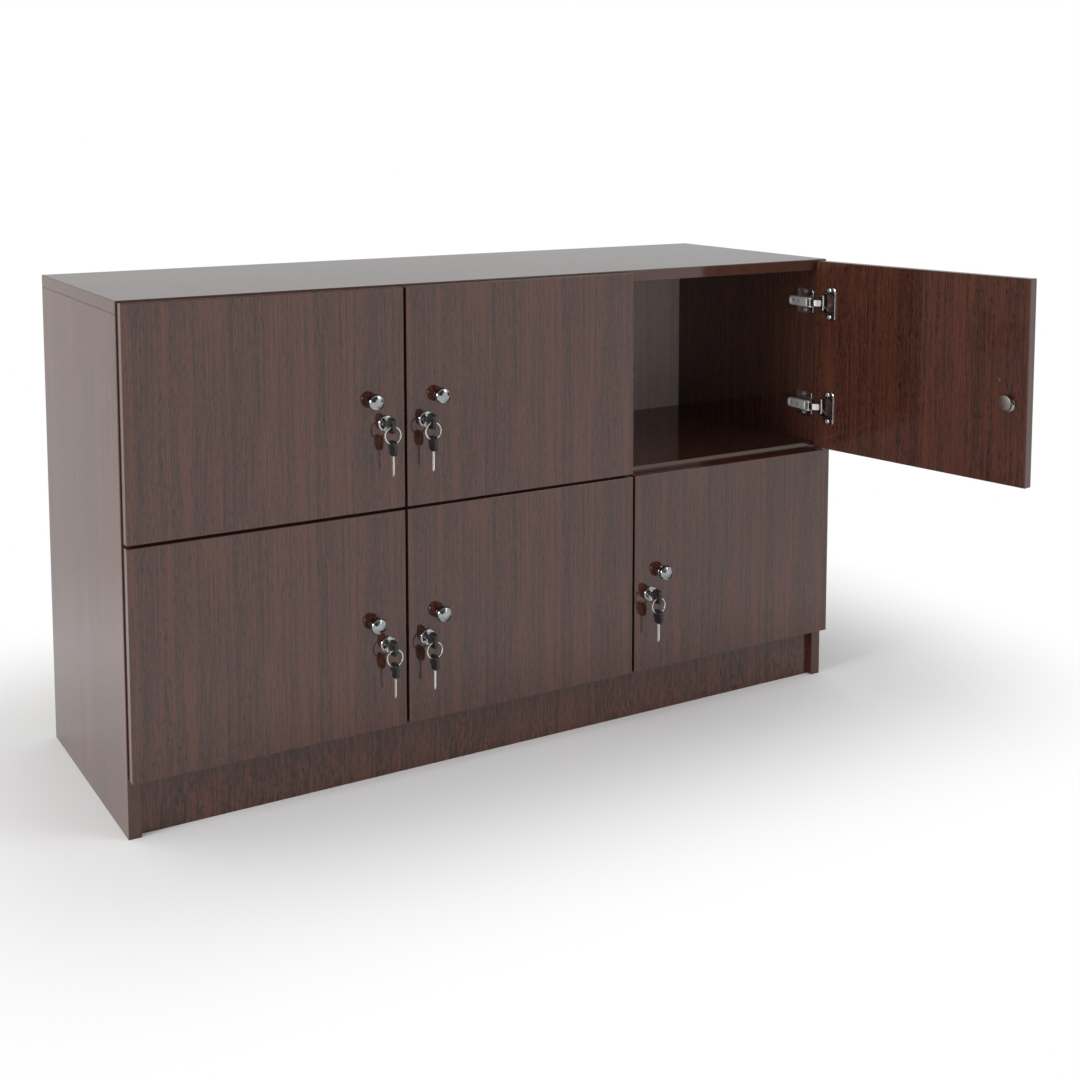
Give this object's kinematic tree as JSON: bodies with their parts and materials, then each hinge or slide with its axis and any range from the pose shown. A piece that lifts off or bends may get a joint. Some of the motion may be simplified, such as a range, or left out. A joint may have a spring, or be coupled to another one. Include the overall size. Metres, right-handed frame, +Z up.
{
  "type": "low locker cabinet",
  "caption": "Low wood-laminate locker cabinet on a plinth, with rows of hinged, lockable doors, round knobs and keys left in the locks.",
  "frame": {"origin": "middle of the plinth board's underside, on the floor", "axes": "+X along the width to the right as seen from the front, +Y to the back, +Z up"},
  "size_m": [1.2888, 0.7993, 0.72],
  "materials": {
    "wood_laminate": "satin dark brown grain",
    "plated_steel": "nickel plated",
    "chrome": "polished",
    "black_plastic": "satin black"
  },
  "bodies": {
    "case": {"top_panel": "wood_laminate", "bottom_panel": "wood_laminate", "left_side_panel": "wood_laminate", "right_side_panel": "wood_laminate", "left_divider": "wood_laminate", "right_divider": "wood_laminate", "shelves": "wood_laminate", "back_panel": "wood_laminate", "plinth_board": "wood_laminate", "hinge_arms": "plated_steel", "hinge_mounting_plates": "plated_steel", "lock_strikes": "plated_steel"},
    "upper_left_levers": {"upper_left_hinge_levers": "plated_steel"},
    "upper_left_leaf": {"upper_left_door": "wood_laminate", "upper_left_hinge_cups": "plated_steel", "upper_left_knob": "chrome", "upper_left_lock_barrel": "chrome"},
    "upper_left_lock": {"upper_left_lock_plug": "chrome", "upper_left_key": "black_plastic"},
    "upper_left_ring": {"upper_left_key_ring": "black_plastic"},
    "upper_middle_levers": {"upper_middle_hinge_levers": "plated_steel"},
    "upper_middle_leaf": {"upper_middle_door": "wood_laminate", "upper_middle_hinge_cups": "plated_steel", "upper_middle_knob": "chrome", "upper_middle_lock_barrel": "chrome"},
    "upper_middle_lock": {"upper_middle_lock_plug": "chrome", "upper_middle_key": "black_plastic"},
    "upper_middle_ring": {"upper_middle_key_ring": "black_plastic"},
    "upper_right_levers": {"upper_right_hinge_levers": "plated_steel"},
    "upper_right_leaf": {"upper_right_door": "wood_laminate", "upper_right_hinge_cups": "plated_steel", "upper_right_knob": "chrome", "upper_right_lock_barrel": "chrome"},
    "upper_right_lock": {"upper_right_lock_plug": "chrome", "upper_right_key": "black_plastic"},
    "upper_right_ring": {"upper_right_key_ring": "black_plastic"},
    "lower_left_levers": {"lower_left_hinge_levers": "plated_steel"},
    "lower_left_leaf": {"lower_left_door": "wood_laminate", "lower_left_hinge_cups": "plated_steel", "lower_left_knob": "chrome", "lower_left_lock_barrel": "chrome"},
    "lower_left_lock": {"lower_left_lock_plug": "chrome", "lower_left_key": "black_plastic"},
    "lower_left_ring": {"lower_left_key_ring": "black_plastic"},
    "lower_middle_levers": {"lower_middle_hinge_levers": "plated_steel"},
    "lower_middle_leaf": {"lower_middle_door": "wood_laminate", "lower_middle_hinge_cups": "plated_steel", "lower_middle_knob": "chrome", "lower_middle_lock_barrel": "chrome"},
    "lower_middle_lock": {"lower_middle_lock_plug": "chrome", "lower_middle_key": "black_plastic"},
    "lower_middle_ring": {"lower_middle_key_ring": "black_plastic"},
    "lower_right_levers": {"lower_right_hinge_levers": "plated_steel"},
    "lower_right_leaf": {"lower_right_door": "wood_laminate", "lower_right_hinge_cups": "plated_steel", "lower_right_knob": "chrome", "lower_right_lock_barrel": "chrome"},
    "lower_right_lock": {"lower_right_lock_plug": "chrome", "lower_right_key": "black_plastic"},
    "lower_right_ring": {"lower_right_key_ring": "black_plastic"}
  },
  "joints": [
    {"name": "upper_left_lever_pivot", "type": "hinge", "parent": "case", "child": "upper_left_levers", "pos_m": [-0.5653, -0.02018, 0.56], "axis": [0, 0, 1], "range_deg": [0, 41.53]},
    {"name": "upper_left_door_swing", "type": "hinge", "parent": "upper_left_levers", "child": "upper_left_leaf", "pos_m": [-0.58618, -0.02468, 0.56], "axis": [0, 0, -1], "range_deg": [0, 151.43]},
    {"name": "upper_left_lock_turn", "type": "hinge", "parent": "upper_left_leaf", "child": "upper_left_lock", "pos_m": [-0.2285, -0.037, 0.526], "axis": [0, 1, 0], "range_deg": [0, 90]},
    {"name": "upper_left_ring_swing", "type": "hinge", "parent": "upper_left_lock", "child": "upper_left_ring", "pos_m": [-0.2285, -0.0606, 0.526], "axis": [-1, 0, 0], "range_deg": [-14, 80]},
    {"name": "upper_middle_lever_pivot", "type": "hinge", "parent": "case", "child": "upper_middle_levers", "pos_m": [0.1623, -0.02018, 0.56], "axis": [0, 0, -1], "range_deg": [0, 41.53]},
    {"name": "upper_middle_door_swing", "type": "hinge", "parent": "upper_middle_levers", "child": "upper_middle_leaf", "pos_m": [0.18318, -0.02468, 0.56], "axis": [0, 0, 1], "range_deg": [0, 151.43]},
    {"name": "upper_middle_lock_turn", "type": "hinge", "parent": "upper_middle_leaf", "child": "upper_middle_lock", "pos_m": [-0.1655, -0.037, 0.526], "axis": [0, -1, 0], "range_deg": [0, 90]},
    {"name": "upper_middle_ring_swing", "type": "hinge", "parent": "upper_middle_lock", "child": "upper_middle_ring", "pos_m": [-0.1655, -0.0606, 0.526], "axis": [-1, 0, 0], "range_deg": [-14, 80]},
    {"name": "upper_right_lever_pivot", "type": "hinge", "parent": "case", "child": "upper_right_levers", "pos_m": [0.5653, -0.02018, 0.56], "axis": [0, 0, -1], "range_deg": [-37.76, 3.87]},
    {"name": "upper_right_door_swing", "type": "hinge", "parent": "upper_right_levers", "child": "upper_right_leaf", "pos_m": [0.57908, -0.0365, 0.56], "axis": [0, 0, 1], "range_deg": [-137.66, 13.77]},
    {"name": "upper_right_lock_turn", "type": "hinge", "parent": "upper_right_leaf", "child": "upper_right_lock", "pos_m": [0.65332, -0.38661, 0.526], "axis": [0.9848, 0.1736, 0], "range_deg": [0, 90]},
    {"name": "upper_right_ring_swing", "type": "hinge", "parent": "upper_right_lock", "child": "upper_right_ring", "pos_m": [0.67656, -0.38251, 0.526], "axis": [0.1736, -0.9848, 0], "range_deg": [-14, 80]},
    {"name": "lower_left_lever_pivot", "type": "hinge", "parent": "case", "child": "lower_left_levers", "pos_m": [-0.5653, -0.02018, 0.24], "axis": [0, 0, 1], "range_deg": [0, 41.53]},
    {"name": "lower_left_door_swing", "type": "hinge", "parent": "lower_left_levers", "child": "lower_left_leaf", "pos_m": [-0.58618, -0.02468, 0.24], "axis": [0, 0, -1], "range_deg": [0, 151.43]},
    {"name": "lower_left_lock_turn", "type": "hinge", "parent": "lower_left_leaf", "child": "lower_left_lock", "pos_m": [-0.2285, -0.037, 0.206], "axis": [0, 1, 0], "range_deg": [0, 90]},
    {"name": "lower_left_ring_swing", "type": "hinge", "parent": "lower_left_lock", "child": "lower_left_ring", "pos_m": [-0.2285, -0.0606, 0.206], "axis": [-1, 0, 0], "range_deg": [-14, 80]},
    {"name": "lower_middle_lever_pivot", "type": "hinge", "parent": "case", "child": "lower_middle_levers", "pos_m": [0.1623, -0.02018, 0.24], "axis": [0, 0, -1], "range_deg": [0, 41.53]},
    {"name": "lower_middle_door_swing", "type": "hinge", "parent": "lower_middle_levers", "child": "lower_middle_leaf", "pos_m": [0.18318, -0.02468, 0.24], "axis": [0, 0, 1], "range_deg": [0, 151.43]},
    {"name": "lower_middle_lock_turn", "type": "hinge", "parent": "lower_middle_leaf", "child": "lower_middle_lock", "pos_m": [-0.1655, -0.037, 0.206], "axis": [0, -1, 0], "range_deg": [0, 90]},
    {"name": "lower_middle_ring_swing", "type": "hinge", "parent": "lower_middle_lock", "child": "lower_middle_ring", "pos_m": [-0.1655, -0.0606, 0.206], "axis": [-1, 0, 0], "range_deg": [-14, 80]},
    {"name": "lower_right_lever_pivot", "type": "hinge", "parent": "case", "child": "lower_right_levers", "pos_m": [0.5653, -0.02018, 0.24], "axis": [0, 0, -1], "range_deg": [0, 41.53]},
    {"name": "lower_right_door_swing", "type": "hinge", "parent": "lower_right_levers", "child": "lower_right_leaf", "pos_m": [0.58618, -0.02468, 0.24], "axis": [0, 0, 1], "range_deg": [0, 151.43]},
    {"name": "lower_right_lock_turn", "type": "hinge", "parent": "lower_right_leaf", "child": "lower_right_lock", "pos_m": [0.2285, -0.037, 0.206], "axis": [0, -1, 0], "range_deg": [0, 90]},
    {"name": "lower_right_ring_swing", "type": "hinge", "parent": "lower_right_lock", "child": "lower_right_ring", "pos_m": [0.2285, -0.0606, 0.206], "axis": [-1, 0, 0], "range_deg": [-14, 80]}
  ],
  "couplings": [
    {"joint": "upper_left_lever_pivot", "follows": "upper_left_door_swing", "ratio": 0.27357},
    {"joint": "upper_middle_lever_pivot", "follows": "upper_middle_door_swing", "ratio": 0.27357},
    {"joint": "upper_right_lever_pivot", "follows": "upper_right_door_swing", "ratio": 0.27357},
    {"joint": "lower_left_lever_pivot", "follows": "lower_left_door_swing", "ratio": 0.27357},
    {"joint": "lower_middle_lever_pivot", "follows": "lower_middle_door_swing", "ratio": 0.27357},
    {"joint": "lower_right_lever_pivot", "follows": "lower_right_door_swing", "ratio": 0.27357}
  ]
}
